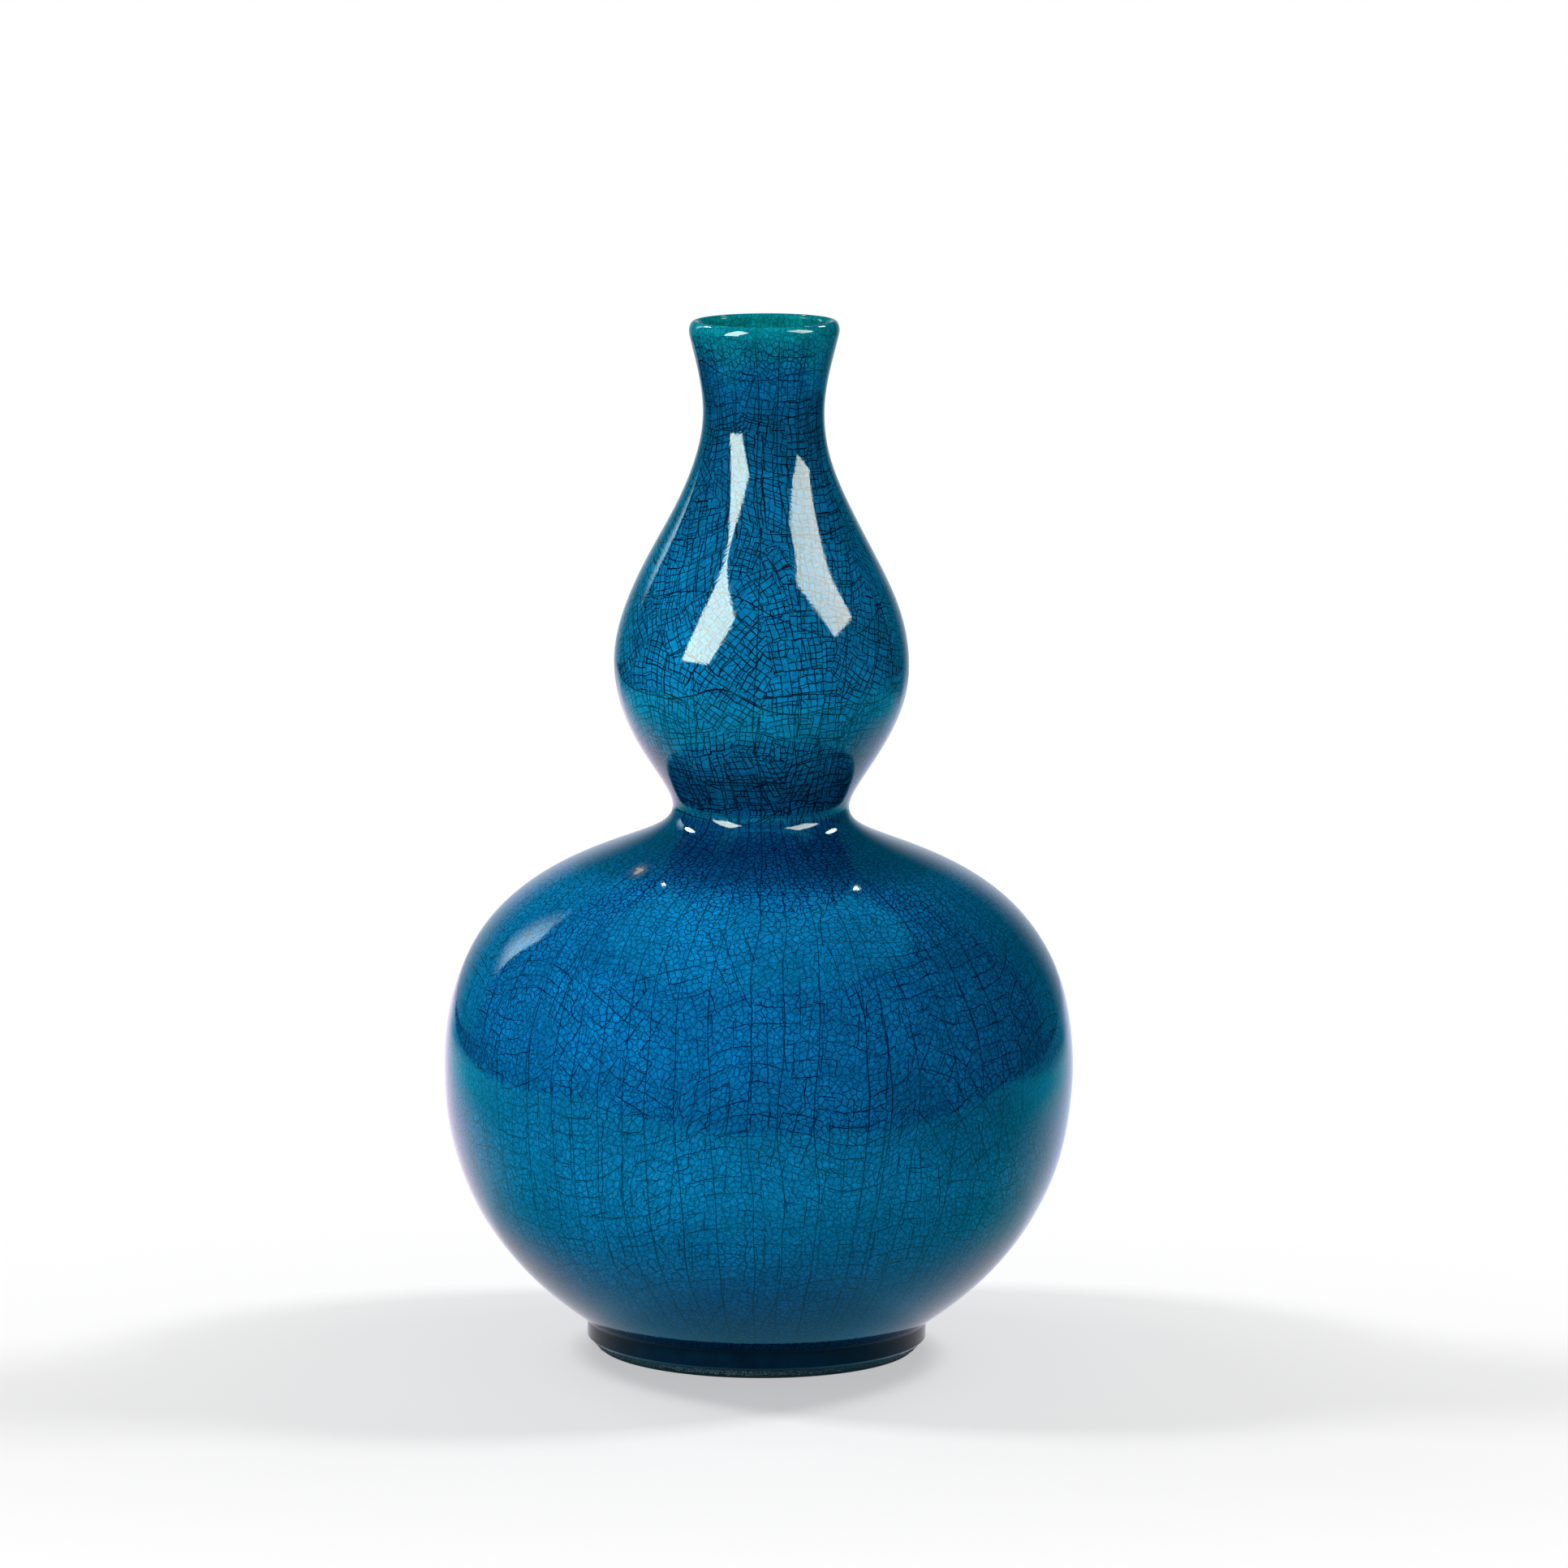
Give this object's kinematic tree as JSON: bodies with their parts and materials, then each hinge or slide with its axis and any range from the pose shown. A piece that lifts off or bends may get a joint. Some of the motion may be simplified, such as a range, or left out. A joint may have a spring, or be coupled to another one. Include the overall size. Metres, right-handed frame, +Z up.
{
  "type": "double gourd vase",
  "caption": "Double gourd vase with a full lower bulb, a pinched waist, a small upper bulb and a flared mouth, in glossy crackled turquoise glaze; holds stems or stands as an ornament.",
  "frame": {"origin": "centre of the circle on which the foot ring stands", "axes": "+Z up along the vase's axis; the vase is round, so +X and +Y are free, and the camera looks along +Y"},
  "size_m": [0.183, 0.183, 0.3],
  "materials": {
    "stoneware": "matte fired clay",
    "slip": "matte fired slip",
    "outer_glaze": "glossy, fine dark crackle",
    "inner_glaze": "glossy, fine dark crackle",
    "base_glaze": "glossy",
    "glaze_edge": "rough, speckled"
  },
  "bodies": {
    "root": {"foot_ring": "stoneware", "lower_bowl": "stoneware", "shoulder_dome": "stoneware", "upper_bowl": "stoneware", "neck_cone": "stoneware", "mouth_collar": "stoneware", "foot_slip": "slip", "belly_slip": "slip", "waist_slip": "slip", "bulb_slip": "slip", "neck_slip": "slip", "outer_glaze": "outer_glaze", "inner_glaze": "inner_glaze", "base_glaze": "base_glaze", "glaze_edge": "glaze_edge"}
  },
  "joints": []
}
